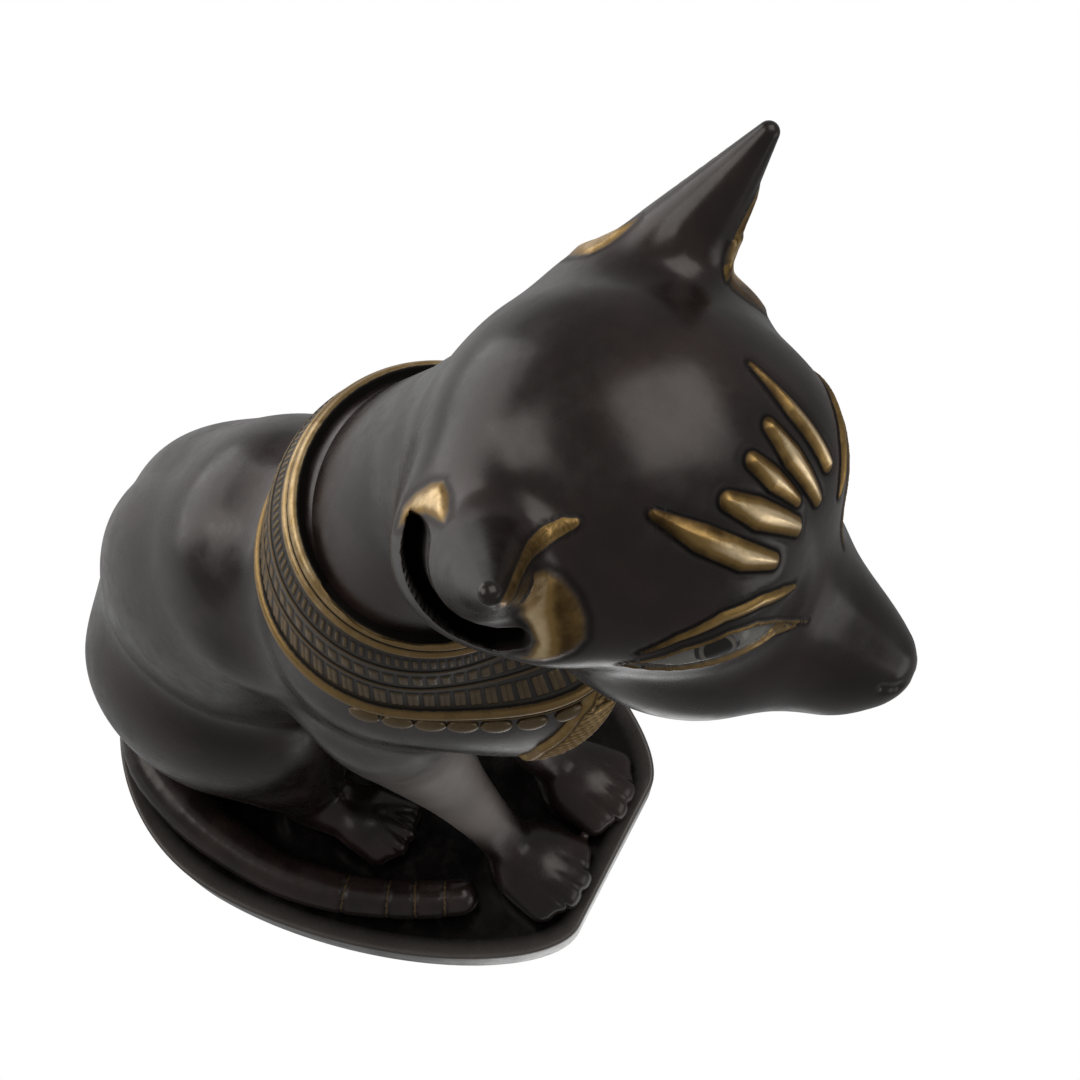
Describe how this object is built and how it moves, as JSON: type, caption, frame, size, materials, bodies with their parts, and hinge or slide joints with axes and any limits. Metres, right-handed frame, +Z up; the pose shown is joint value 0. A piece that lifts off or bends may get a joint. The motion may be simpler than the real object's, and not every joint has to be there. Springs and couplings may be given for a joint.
{
  "type": "cat figurine",
  "caption": "Seated cat figure in the Egyptian manner, black with gold collar and details, cast in one piece with a low dished plinth.",
  "frame": {"origin": "middle of the plinth's flat underside", "axes": "+Z up along the figure's height, the cat looks along -Y, its left side is on +X"},
  "size_m": [0.092, 0.1403, 0.1945],
  "materials": {
    "cast": "satin black coat over cast resin, with antique gold paint on the raised details"
  },
  "bodies": {
    "root": {"cat_figure": "cast"}
  },
  "joints": []
}
